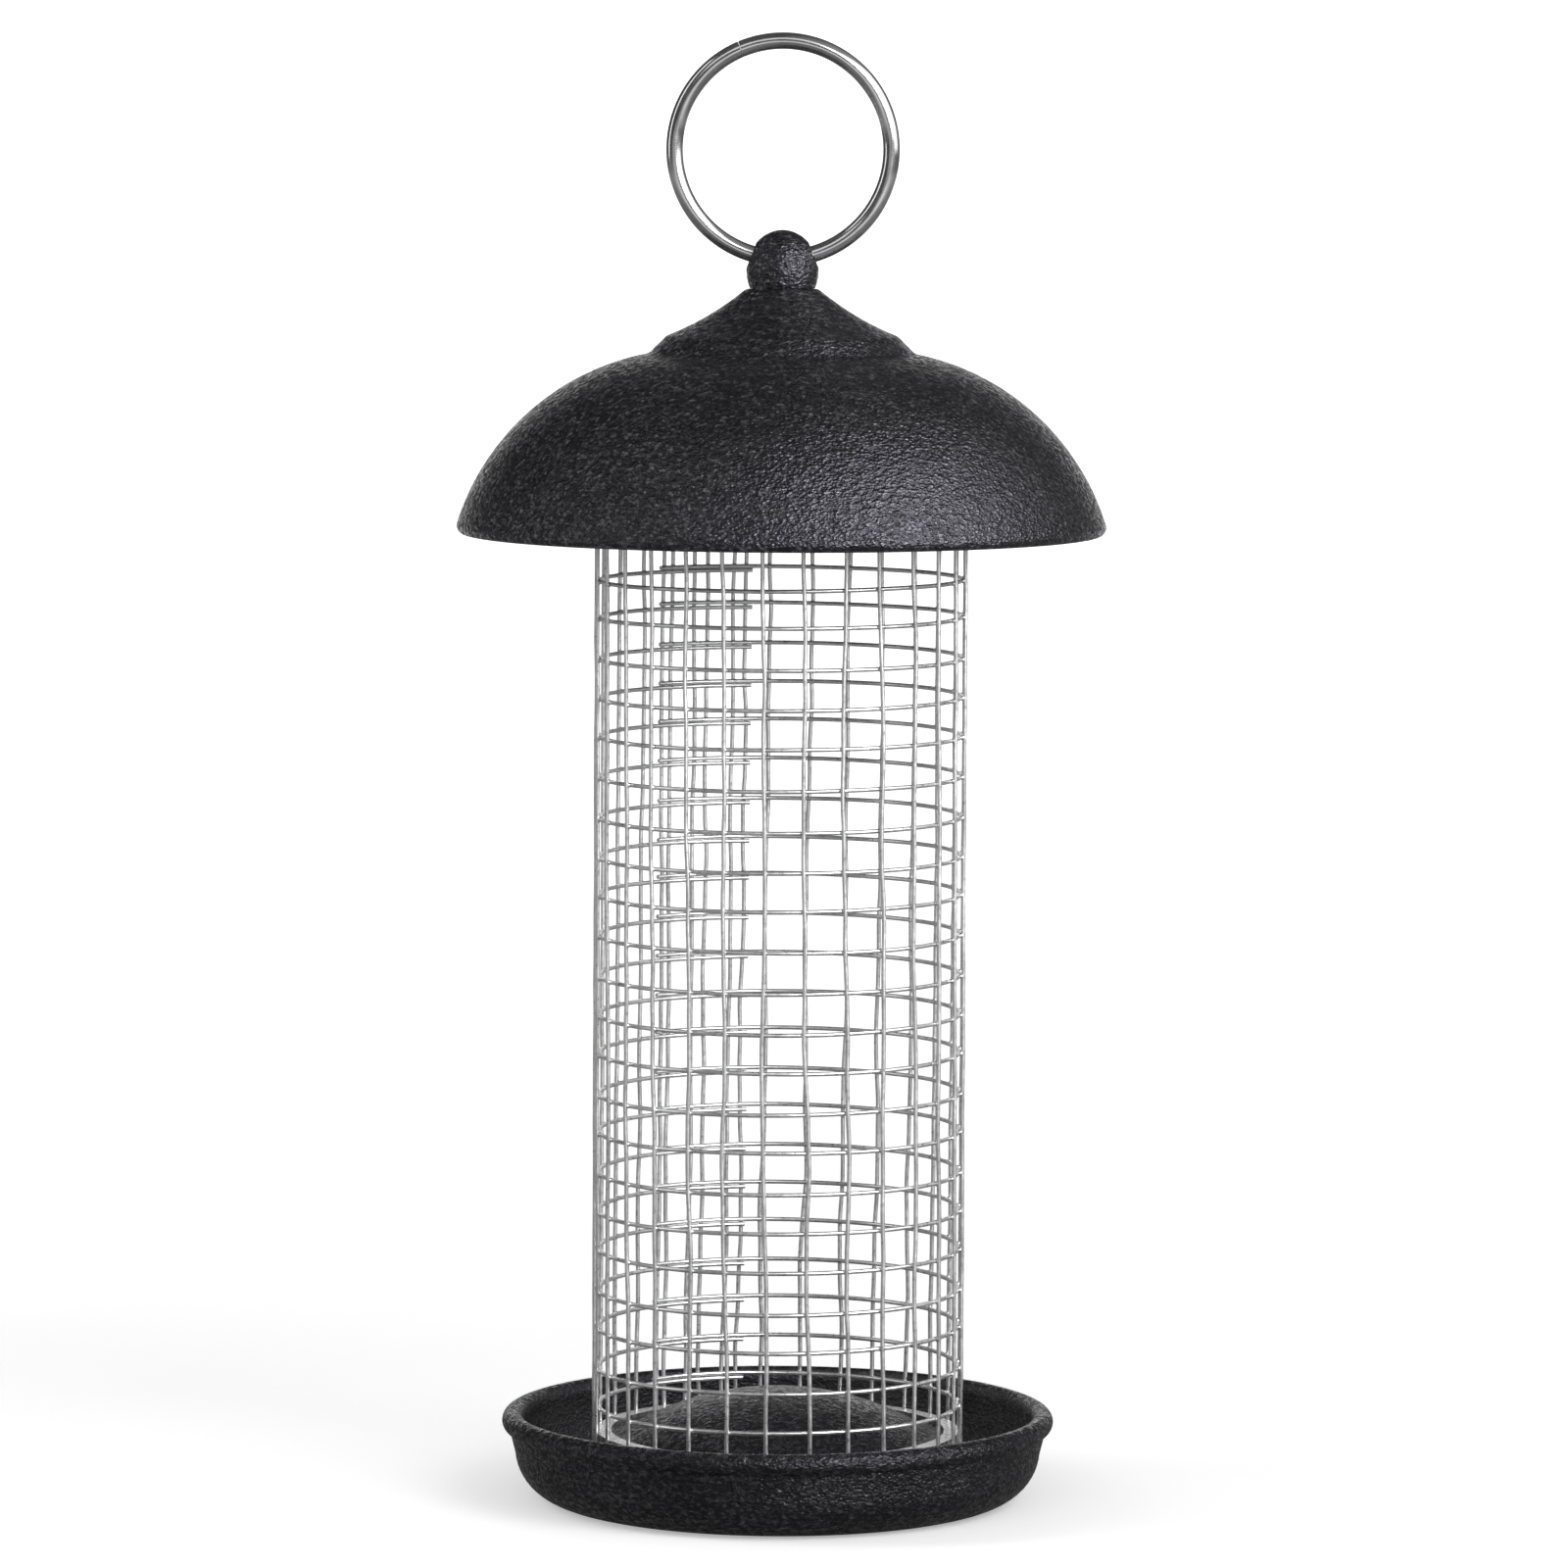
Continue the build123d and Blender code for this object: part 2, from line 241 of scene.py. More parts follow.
def cells_of(tree, coordinates, scale):
    """Random value of each cell of a cell pattern, and the distance to its middle."""
    node = tree.nodes.new("ShaderNodeTexVoronoi")
    node.inputs["Scale"].default_value = scale
    tree.links.new(coordinates, node.inputs["Vector"])
    split = tree.nodes.new("ShaderNodeSeparateColor")
    tree.links.new(node.outputs["Color"], split.inputs["Color"])
    return split.outputs["Red"], node.outputs["Distance"]


def ramp(tree, value, stops):
    """Colour ramp with (position, colour) stops."""
    node = tree.nodes.new("ShaderNodeValToRGB")
    elements = node.color_ramp.elements
    while len(elements) < len(stops):
        elements.new(0.5)
    for element, (position, colour) in zip(elements, stops):
        element.position = position
        element.color = (*colour, 1.0)
    tree.links.new(value, node.inputs["Fac"])
    return node.outputs["Color"]


def span(tree, value, low, high, at_low, at_high):
    """Value taken evenly from one range to another."""
    node = tree.nodes.new("ShaderNodeMapRange")
    node.inputs["From Min"].default_value = low
    node.inputs["From Max"].default_value = high
    node.inputs["To Min"].default_value = at_low
    node.inputs["To Max"].default_value = at_high
    tree.links.new(value, node.inputs["Value"])
    return node.outputs["Result"]


def grey(level):
    """Neutral colour of a level."""
    return (level, level, level)


def mix(tree, kind, factor, first, second):
    """Blend of two colours or values by a kind such as MULTIPLY or ADD."""
    node = tree.nodes.new("ShaderNodeMix")
    node.data_type = "RGBA"
    node.blend_type = kind
    for key, value in (("Factor", factor), ("A", first), ("B", second)):
        socket = node.inputs[key]
        if isinstance(value, (int, float)):
            socket.default_value = value
        elif isinstance(value, tuple):
            socket.default_value = (*value, 1.0)
        else:
            tree.links.new(value, socket)
    return node.outputs["Result"]


def math_of(tree, kind, first, second):
    """Arithmetic on two values."""
    node = tree.nodes.new("ShaderNodeMath")
    node.operation = kind
    for socket, value in zip(node.inputs, (first, second)):
        if isinstance(value, (int, float)):
            socket.default_value = value
        else:
            tree.links.new(value, socket)
    return node.outputs["Value"]


def bump(tree, shader, height, strength, distance):
    """Bump on the shader from a height value, its distance in metres."""
    node = tree.nodes.new("ShaderNodeBump")
    node.inputs["Strength"].default_value = strength
    node.inputs["Distance"].default_value = distance
    tree.links.new(height, node.inputs["Height"])
    tree.links.new(node.outputs["Normal"], shader.inputs["Normal"])


# Paint: colour stops of its noises, their turns per metre, how far they are flattened, and its shine
PAINT_GROUND = [
    (0.38, (0.0012, 0.0012, 0.0013)),
    (0.50, (0.0035, 0.0034, 0.0037)),
    (0.66, (0.028, 0.0275, 0.0293)),
]
PAINT_FLECKS = [(0.60, (0.0, 0.0, 0.0)), (0.86, (0.008, 0.008, 0.0083)), (1.0, (0.070, 0.069, 0.073))]
PAINT_STREAKS = [(0.50, (0.0, 0.0, 0.0)), (0.78, (0.034, 0.034, 0.036))]
PAINT_CLOUDS = [(0.3, (0.75, 0.75, 0.75)), (0.7, (1.2, 1.2, 1.2))]
FLECKS_PER_METRE = 1700
GRAIN_SHARE = 0.6
STREAKS_PER_METRE = 260
CLOUDS_PER_METRE = 90
FLECK_FLATNESS = 1.5
STREAK_FLATNESS = 9.0
FEW_STREAKS = 0.3
STREAK_FADE = (-6 * MM, 4 * MM)
GRAIN_RANGE = (0.42, 0.60)
PAINT_ROUGHNESS = (0.46, 0.16)
PAINT_TINT = (0.86, 0.84, 1.0, 1.0)
SPOT_SHARE = 0.4
DIMPLE_DEPTH = 0.40 * MM
# Where the mask of painted light on faces that look in towards the axis begins and becomes full
INWARD_RANGE = (-25 * MM, -5 * MM)


# Mask of painted light: faces that look in towards the axis, such as the tray's shaded inside
def inward(tree, where):
    """One on faces that look towards the upright axis, falling to zero on all others."""
    dot = tree.nodes.new("ShaderNodeVectorMath")
    dot.operation = "DOT_PRODUCT"
    tree.links.new(tree.nodes.new("ShaderNodeNewGeometry").outputs["Normal"], dot.inputs[0])
    tree.links.new(where, dot.inputs[1])
    return span(tree, dot.outputs["Value"], *INWARD_RANGE, 1.0, 0.0)


def hammered_paint(name, gloss, flecks=1.0, lift_and_painted_light=(0.0, 0.0), streak_from=None):
    """Black hammered powder coat: charcoal ground, fine grey flecks, tiny dimples and level streaks.

    The first of the two lift numbers brightens the colour evenly; the second is painted light, a
    lighter colour on faces that look in towards the axis, where the inside lies in shade.
    Above the height streak_from the level streaks are strong.
    """
    made, tree, shader, where = material(name)
    flat = stretch(tree, where, (1.0, 1.0, FLECK_FLATNESS))
    level = stretch(tree, where, (1.0, 1.0, STREAK_FLATNESS))
    fleck, spot = cells_of(tree, flat, FLECKS_PER_METRE)
    grain = noise_of(tree, flat, FLECKS_PER_METRE * GRAIN_SHARE, detail=2, roughness=0.55)
    cloud = noise_of(tree, where, CLOUDS_PER_METRE, detail=3)
    streak = noise_of(tree, level, STREAKS_PER_METRE, detail=5, roughness=0.6)
    # Even lift of the colour, plus painted light on faces that look in towards the axis, which lightens
    # the shaded inside
    painted_light_lift = span(tree, inward(tree, where), 0.0, 1.0, *lift_and_painted_light)
    ground = mix(tree, "ADD", 1.0, ramp(tree, grain, PAINT_GROUND), painted_light_lift)
    colour = mix(tree, "ADD", flecks, ground, ramp(tree, fleck, PAINT_FLECKS))
    amount = FEW_STREAKS
    if streak_from is not None:
        height = tree.nodes.new("ShaderNodeSeparateXYZ")
        tree.links.new(where, height.inputs["Vector"])
        low, high = (streak_from + step for step in STREAK_FADE)
        amount = span(tree, height.outputs["Z"], low, high, FEW_STREAKS, 1.0)
    colour = mix(tree, "ADD", amount, colour, ramp(tree, streak, PAINT_STREAKS))
    colour = mix(tree, "MULTIPLY", 1.0, colour, ramp(tree, cloud, PAINT_CLOUDS))
    tree.links.new(colour, shader.inputs["Base Color"])
    tree.links.new(span(tree, grain, *GRAIN_RANGE, *PAINT_ROUGHNESS), shader.inputs["Roughness"])
    shader.inputs["Metallic"].default_value = 0.0
    shader.inputs["Specular IOR Level"].default_value = gloss
    shader.inputs["Specular Tint"].default_value = PAINT_TINT
    dimples = math_of(tree, "ADD", math_of(tree, "MULTIPLY", spot, SPOT_SHARE), grain)
    bump(tree, shader, dimples, 1.0, DIMPLE_DEPTH)
    return made


PATCH_RANGE = (0.3, 0.7)
FINE_SHARE = 7
FINE_TONE = 0.5
FINE_STOPS = [(0.35, (0.72, 0.72, 0.72)), (0.65, (1.0, 1.0, 1.0))]


def bare_metal(name, tones, shine, rough, spangle, bumpiness, depth):
    """Grey metal with a patchy tone and fine unevenness.

    Spangle is the patches per metre. A shine below one leaves the metal a little milky.
    """
    made, tree, shader, where = material(name)
    patch = noise_of(tree, where, spangle, detail=3)
    fine = noise_of(tree, where, spangle * FINE_SHARE, detail=2)
    colour = ramp(tree, patch, [(place, grey(tone)) for place, tone in zip(PATCH_RANGE, tones)])
    colour = mix(tree, "MULTIPLY", FINE_TONE, colour, ramp(tree, fine, FINE_STOPS))
    tree.links.new(colour, shader.inputs["Base Color"])
    shader.inputs["Metallic"].default_value = shine
    tree.links.new(span(tree, fine, *PATCH_RANGE, *rough), shader.inputs["Roughness"])
    bump(tree, shader, fine, bumpiness, depth)
    return made


CONE_HEIGHT = 12 * MM
PAINT_ROOF = hammered_paint(
    "hammered_paint_roof", gloss=0.45, streak_from=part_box("roof_shell")[1].z - CONE_HEIGHT
)
PAINT_BALL = hammered_paint("hammered_paint_ball", gloss=0.45)
# The tray's inside gets painted light: a lighter colour on its shaded inward faces
PAINT_TRAY = hammered_paint("hammered_paint_tray", gloss=0.22, flecks=0.4, lift_and_painted_light=(0.003, 0.038))
WIRE = bare_metal(
    "galvanised_wire",
    tones=(0.54, 0.72),
    shine=0.80,
    rough=(0.26, 0.38),
    spangle=160,
    bumpiness=0.3,
    depth=0.03 * MM,
)
ZINC = bare_metal(
    "zinc_sheet",
    tones=(0.50, 0.72),
    shine=0.95,
    rough=(0.22, 0.40),
    spangle=120,
    bumpiness=0.2,
    depth=0.02 * MM,
)
NICKEL = bare_metal(
    "nickel_plate",
    tones=(0.36, 0.46),
    shine=0.87,
    rough=(0.10, 0.17),
    spangle=60,
    bumpiness=0.08,
    depth=0.01 * MM,
)


def dress(obj, made):
    """Gives an object one material."""
    obj.data.materials.clear()
    obj.data.materials.append(made)


def dress_node(name, made):
    """Gives a node of the model a better material and keeps its mesh."""
    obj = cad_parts[name]
    if not obj.data.materials:
        obj.data.materials.append(made)
    for slot in obj.material_slots:
        slot.material = made


def stand_for(obj, node, body, made):
    """Dresses a piece, lets it ride on its body and stand for its node."""
    dress(obj, made)
    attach(obj, body)
    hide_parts(node)


# Roof, in millimetres and degrees, the same as the model's
SHEET = 0.9
ROOF_RIM_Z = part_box("roof_shell")[0].z / MM
ROOF_TOP_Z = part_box("roof_shell")[1].z / MM
HEM_R = 1.3
HEM_ANGLE = 17.5
HEM_END_ANGLE = -190
HEM_TUCK_ANGLE = 2.6
DOME_R = 39.94
DOME_OFFSET = 14.0
SHOULDER_R = 21.4
SHOULDER_ROUND = 2.0
STEP_R = 18.6
STEP_RISE = 2.8
STEP_ROUND = 1.5
CONE_SAG = 0.7
NECK_R = 5.8
NECK_ROUND = 1.6
STUD_HOLE_R = 2.1
# How far the cone's lower face lies inside its corners, and below them as shares of the sheet
UNDER_STEP_IN, UNDER_STEP_SHARE = 0.4, 1.1
UNDER_MIDDLE_IN, UNDER_MIDDLE_SHARE = 0.3, 1.15
UNDER_NECK_IN, UNDER_NECK_SHARE = 0.3, 1.3
UNDER_HOLE_SHARE = 1.2


def make_roof():
    """Roof: cone, step, dome and hem in one sheet."""
    hem_angle = math.radians(HEM_ANGLE)
    dome_z = ROOF_RIM_Z + HEM_R - (DOME_R - HEM_R) * math.sin(hem_angle)
    shoulder_z = dome_z + math.sqrt(DOME_R**2 - (SHOULDER_R - DOME_OFFSET) ** 2)
    step_z = shoulder_z + STEP_RISE
    middle = ((NECK_R + STEP_R) / 2, (ROOF_TOP_Z + step_z) / 2 - CONE_SAG)
    start = math.degrees(math.asin((shoulder_z - dome_z) / DOME_R))
    cone = three_point_arc((NECK_R, ROOF_TOP_Z), middle, (STEP_R, step_z), 14)
    dome = arc(DOME_OFFSET, dome_z, DOME_R, start, HEM_ANGLE, 72)
    neck = rounded([(STUD_HOLE_R, ROOF_TOP_Z), (NECK_R, ROOF_TOP_Z), cone[1]], [NECK_ROUND], 8)
    corners = [cone[-2], (STEP_R, step_z), (SHOULDER_R, shoulder_z), dome[2]]
    step = rounded(corners, [STEP_ROUND, SHOULDER_ROUND], 10)
    outer = neck[:-1] + cone[2:-2] + step[1:-1] + dome[3:]
    hem_r = DOME_OFFSET + (DOME_R - HEM_R) * math.cos(hem_angle)
    outer += arc(hem_r, ROOF_RIM_Z + HEM_R, HEM_R, HEM_ANGLE, HEM_END_ANGLE, 20)[1:]
    inner = arc(DOME_OFFSET, dome_z, DOME_R - SHEET, HEM_ANGLE + HEM_TUCK_ANGLE, start, 56)
    under = three_point_arc(
        (STEP_R - UNDER_STEP_IN, step_z - SHEET * UNDER_STEP_SHARE),
        (middle[0] - UNDER_MIDDLE_IN, middle[1] - SHEET * UNDER_MIDDLE_SHARE),
        (NECK_R - UNDER_NECK_IN, ROOF_TOP_Z - SHEET * UNDER_NECK_SHARE),
        16,
    )
    profile = outer + inner + under + [(STUD_HOLE_R, ROOF_TOP_Z - SHEET * UNDER_HOLE_SHARE)]
    roof = lathe("roof", profile)
    stand_for(roof, "roof_shell", "roof", PAINT_ROOF)


# Tray, in millimetres and degrees, the same as the model's
FOOT_SHEET = 0.6
FOOT_GAP = 0.1
BOSS_Z = 10.6
BOSS_R = (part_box("foot_ring")[1].x / MM) - FOOT_SHEET - FOOT_GAP
BOSS_SHELF = 3.7
DOME_BASE_R = BOSS_R - BOSS_SHELF
FLOOR_WIDTH = 12.25
CORNER_R = BOSS_R + FLOOR_WIDTH
WALL_LEAN = 1.1
WALL_TOP_R = CORNER_R + WALL_LEAN
BOSS_ROUND = 0.6
LEAST_ROUND = 0.05
FLOOR_ROUND = 1.5
WALL_ROUND = 7.5
BEAD_R = 1.7
BEAD_Z = 12.8
BEAD_ARC = (205, -75)


def make_tray():
    """Tray: dome, boss, floor and wall in one sheet, with the rim rolled outwards."""
    rim_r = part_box("tray")[1].x / MM
    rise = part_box("tray")[1].z / MM - BOSS_Z
    cap = (DOME_BASE_R**2 + rise**2) / (2 * rise)
    half_angle = math.degrees(math.asin(DOME_BASE_R / cap))
    centre_z = BOSS_Z + rise - cap

    def sheet_line(shift):
        """Upper face of the sheet at shift 0, lower face at the sheet's thickness."""
        dome = arc(0, centre_z, cap - shift, 90, 90 - half_angle, 40)
        dome[0] = (0, dome[0][1])
        corner = rounded(
            [
                dome[-1],
                (BOSS_R - shift, BOSS_Z - shift),
                (BOSS_R - shift, SHEET - shift),
                (CORNER_R + shift, SHEET - shift),
                (WALL_TOP_R + shift, BEAD_Z),
            ],
            [max(BOSS_ROUND - shift, LEAST_ROUND), FLOOR_ROUND + shift, WALL_ROUND + shift],
            14,
        )
        return dome + corner[1:-1]

    upper = sheet_line(0)
    lower = sheet_line(SHEET)
    bead = arc(rim_r - BEAD_R, BEAD_Z, BEAD_R, *BEAD_ARC, 36)
    tray = lathe("tray_bowl", upper + bead + lower[::-1])
    stand_for(tray, "tray", "base", PAINT_TRAY)


# Ball finial, in millimetres, the same as the model's
BALL_R = 5.8
BALL_HALF_HEIGHT = 6.5
BALL_CENTRE_RISE = 2.8
RING_HOLE_R = 2.05
RING_HOLE_RISE = 5.25
BALL_STEPS = 48


def make_ball():
    """Ball finial with its cross hole cut through."""
    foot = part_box("finial_ball")[0].z / MM
    centre = foot + BALL_CENTRE_RISE
    points = [(0, foot)]
    start = -math.asin(BALL_CENTRE_RISE / BALL_HALF_HEIGHT)
    for i in range(BALL_STEPS + 1):
        a = start + (math.pi / 2 - start) * i / BALL_STEPS
        points.append((BALL_R * math.cos(a), centre + BALL_HALF_HEIGHT * math.sin(a)))
    points[-1] = (0, points[-1][1])
    ball = lathe("ball", points, 128)
    drill = bpy.data.meshes.new("drill")
    work = bmesh.new()
    bore, length = RING_HOLE_R * MM, 4 * BALL_R * MM
    bmesh.ops.create_cone(work, cap_ends=True, segments=64, radius1=bore, radius2=bore, depth=length)
    work.to_mesh(drill)
    work.free()
    cutter = bpy.data.objects.new("drill", drill)
    bpy.context.scene.collection.objects.link(cutter)
    cutter.rotation_euler = (0, math.pi / 2, 0)
    cutter.location = (0, 0, (foot + RING_HOLE_RISE) * MM)
    cut = ball.modifiers.new("hole", "BOOLEAN")
    cut.operation = "DIFFERENCE"
    cut.object = cutter
    bpy.context.view_layer.update()
    drilled = ball.evaluated_get(bpy.context.evaluated_depsgraph_get())
    drilled = bpy.data.meshes.new_from_object(drilled)
    ball.modifiers.clear()
    ball.data = drilled
    bpy.data.objects.remove(cutter)
    stand_for(ball, "finial_ball", "finial", PAINT_BALL)


# Hanging ring: its joint in degrees and millimetres, with slightly filed ends
RING_JOINT_ANGLE = 113.0
RING_JOINT_GAP = 0.03
RING_STEPS = 240
RING_SIDES = 40
FILED_SHARE = 0.93
FILED_LENGTH_SHARE = 0.15


def make_ring():
    """Hanging ring: round wire closed by a butt joint."""
    low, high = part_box("hanging_ring")
    wire = (high.y - low.y) / 2
    outer = (high.x - low.x) / 2
    centre = Vector((0, 0, high.z - outer))
    radius = outer - wire
    gap = math.degrees(RING_JOINT_GAP * MM / radius)
    path = []
    for i in range(RING_STEPS + 1):
        a = math.radians(RING_JOINT_ANGLE + gap / 2 + (360 - gap) * i / RING_STEPS)
        path.append(centre + Vector((math.cos(a), 0, math.sin(a))) * radius)

    path.insert(1, path[0].lerp(path[1], FILED_LENGTH_SHARE))
    path.insert(-1, path[-1].lerp(path[-2], FILED_LENGTH_SHARE))

    def away(i):
        """Direction from the ring's centre to a point of its path."""
        return path[i] - centre

    def size(i):
        """Radius of the wire at a point of its path."""
        return wire * (FILED_SHARE if i in (0, len(path) - 1) else 1.0)

    vertices, faces = [], []
    add_tube(vertices, faces, path, size, RING_SIDES, away)
    ring = new_object("ring", vertices, faces)
    stand_for(ring, "hanging_ring", "ring", NICKEL)


# Wire mesh, in millimetres and degrees, with the model's counts and pitches
WIRE_R = 0.35
WIRE_SIDES = 12
TUBE_R = 30.15
WIRE_GAP = 0.02
UPRIGHT_R = TUBE_R - WIRE_R
HOOP_R = UPRIGHT_R - 2 * WIRE_R - WIRE_GAP
UPRIGHT_COUNT = 32
UPRIGHT_STEP = 12.56
FIRST_UPRIGHT_ANGLE = 102.3
HOOP_COUNT = 25
HOOP_PITCH = 6.38
FIRST_HOOP_Z = 15.4
LAP_LIFT = 0.75
STUB_ANGLE = 2.0
TUBE_TWIST = 2.6
HOOP_JITTER = 0.22
UPRIGHT_JITTER = 0.55
JITTER_SEED = 7
UPRIGHT_STEPS = 130
HOOP_STEPS = 220
# Waves of the wires: how far they reach, and the length of one along the wire
SLOW_LEAN, SLOW_LENGTH = 1.1, 19.0
QUICK_LEAN, QUICK_LENGTH = 0.35, 7.0
HOOP_WAVE, HOOP_WAVE_ANGLE = 0.16, 55.0
DENT, DENT_LENGTH = 0.16, 13.0
LAP_LEVEL_SHARE = 0.6
# Half sizes of a weld bead: out from the tube, along the hoop, upwards
WELD_OUT, WELD_ALONG, WELD_UP = 0.45, 0.44, 0.44


def mesh_layout():
    """Heights of the hoops and angles of the uprights, slightly uneven as in a real mesh."""
    dice = random.Random(JITTER_SEED)
    hoops = []
    for i in range(HOOP_COUNT):
        jitter = dice.uniform(-HOOP_JITTER, HOOP_JITTER)
        hoops.append(FIRST_HOOP_Z + i * HOOP_PITCH + jitter)
    uprights = []
    for i in range(UPRIGHT_COUNT):
        jitter = dice.uniform(-UPRIGHT_JITTER, UPRIGHT_JITTER)
        uprights.append(FIRST_UPRIGHT_ANGLE + i * UPRIGHT_STEP + jitter)
    return hoops, uprights


def twist_at(z):
    """Turn of the tube's wires at a height, in degrees: they lean a little round the tube."""
    low, high = FIRST_HOOP_Z, FIRST_HOOP_Z + (HOOP_COUNT - 1) * HOOP_PITCH
    return TUBE_TWIST * (0.5 - (z - low) / (high - low))


def lean_at(z, number):
    """Sideways wander of an upright wire at a height, in degrees."""
    slow = noise.noise(Vector((z / SLOW_LENGTH, number * 5.3, 1.5)))
    quick = noise.noise(Vector((z / QUICK_LENGTH, number * 2.9, 4.5)))
    return slow * SLOW_LEAN + quick * QUICK_LEAN


def hoop_height(base, angle, lap_end, index):
    """Height of a hoop wire at an angle: it falls by the lap's lift over a turn, and waves a little."""
    drop = LAP_LIFT * (LAP_LEVEL_SHARE - (lap_end - angle) / 360)
    wave = noise.noise(Vector((angle / HOOP_WAVE_ANGLE, index * 3.7, 0.5))) * HOOP_WAVE
    return base + drop + wave


def out_of_tube(path):
    """Function that gives the direction out of the tube at a point of a path."""
    return lambda i: Vector((path[i].x, path[i].y, 0))


def make_mesh_tube():
    """Upright wires, hoop wires that pass over their own start, and a weld at each crossing."""
    hoops, uprights = mesh_layout()
    low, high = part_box("mesh_uprights")
    vertices, faces = [], []
    for index, angle in enumerate(uprights):
        path = []
        for i in range(UPRIGHT_STEPS + 1):
            z = low.z / MM + (high.z - low.z) / MM * i / UPRIGHT_STEPS
            dent = abs(noise.noise(Vector((z / DENT_LENGTH, index * 4.1, 7.5)))) * DENT
            path.append(around(UPRIGHT_R - dent, angle + twist_at(z) + lean_at(z, index), z))
        add_tube(vertices, faces, path, WIRE_R * MM, WIRE_SIDES, out_of_tube(path))
    upright_wires = new_object("upright_wires", vertices, faces, 60)
    stand_for(upright_wires, "mesh_uprights", "base", WIRE)

    vertices, faces = [], []
    lap_start = FIRST_UPRIGHT_ANGLE - STUB_ANGLE
    lap_end = FIRST_UPRIGHT_ANGLE + (UPRIGHT_COUNT - 1) * UPRIGHT_STEP + STUB_ANGLE - 360
    turn = 360 + lap_end - lap_start
    for index, base in enumerate(hoops):
        path = []
        for i in range(HOOP_STEPS + 1):
            angle = lap_end - turn * i / HOOP_STEPS
            z = hoop_height(base, angle, lap_end, index)
            path.append(around(HOOP_R, angle + twist_at(base), z))
        add_tube(vertices, faces, path, WIRE_R * MM, WIRE_SIDES, out_of_tube(path))
    hoop_wires = new_object("hoop_wires", vertices, faces, 60)
    dress(hoop_wires, WIRE)
    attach(hoop_wires, "base")
    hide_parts("mesh_hoops", "lap_hoops")
    make_welds(hoops, uprights, lap_end)


def make_welds(hoops, uprights, lap_end):
    """A small flattened bead of zinc where each upright is welded to a hoop."""
    bead = bmesh.new()
    bmesh.ops.create_uvsphere(bead, u_segments=10, v_segments=6, radius=1.0)
    shape = [v.co.copy() for v in bead.verts]
    polygons = [tuple(v.index for v in f.verts) for f in bead.faces]
    bead.free()
    vertices, faces = [], []
    for index, base in enumerate(hoops):
        for number, angle in enumerate(uprights):
            turned = angle
            while turned > lap_end:
                turned -= 360
            z = hoop_height(base, turned, lap_end, index)
            centre = around((UPRIGHT_R + HOOP_R) / 2, angle + twist_at(z) + lean_at(z, number), z)
            out = Vector((centre.x, centre.y, 0)).normalized()
            along = Vector((-out.y, out.x, 0))
            start = len(vertices)
            for v in shape:
                offset = out * v.x * WELD_OUT + along * v.y * WELD_ALONG + Vector((0, 0, v.z * WELD_UP))
                vertices.append(centre + offset * MM)
            faces.extend(tuple(start + k for k in polygon) for polygon in polygons)
    welds = new_object("wire_welds", vertices, faces, 80)
    dress(welds, WIRE)
    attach(welds, "base")


make_roof()
make_tray()
make_ball()
make_ring()
make_mesh_tube()
for node_name in (
    "foot_ring",
    "foot_rivets",
    "top_collar",
    "bayonet_pins",
    "lid_cup",
    "finial_stud",
    "stud_washer",
    "stud_nut",
):
    dress_node(node_name, ZINC)


# Floor and backdrop. The glow whitens them to the eye, more with the distance from the feeder
FLOOR_HALF_WIDTH = 4.0
FLOOR_FRONT = -3.0
BEND_START = 1.6
BEND_R = 0.8
BEND_STEPS = 24
BACKDROP_TOP = 3.5
FLOOR_COLOUR = (0.82, 0.82, 0.82)
FLOOR_SHADE = 0.985
FLOOR_ROUGHNESS = 0.9
FLOOR_GLOSS = 0.1
GLOW_REACH = (0.15, 1.3)
GLOW_LEVELS = (0.40, 0.95)
# In reflections they are dim near the feeder, to its sides and high up
DIM_NEAR_REACH = (0.5, 1.2)
DIM_NEAR = 0.2
DIM_BESIDE_REACH = (0.45, 1.1)
DIM_ABOVE_REACH = (0.35, 1.0)
SIDE_TONE = 0.10
# World: light on matt surfaces, and the tones that reflections find by direction
WORLD_LIGHT = 0.40
ROOM_TONE = 0.035
RIGHT_SIDE = (0.93, -0.30, 0.20)
RIGHT_TONE = 0.42
RIGHT_EDGE = (0.30, 0.62)
BACK_SIDE = (0.0, 1.0, 0.0)
BACK_EDGE = (0.86, 0.96)


def eye_rays(tree):
    """One for rays of the camera and through glass, else zero."""
    rays = tree.nodes.new("ShaderNodeLightPath")
    return math_of(tree, "MAXIMUM", rays.outputs["Is Camera Ray"], rays.outputs["Is Transmission Ray"])


def gloss_rays(tree):
    """One for rays of reflections, else zero."""
    return tree.nodes.new("ShaderNodeLightPath").outputs["Is Glossy Ray"]


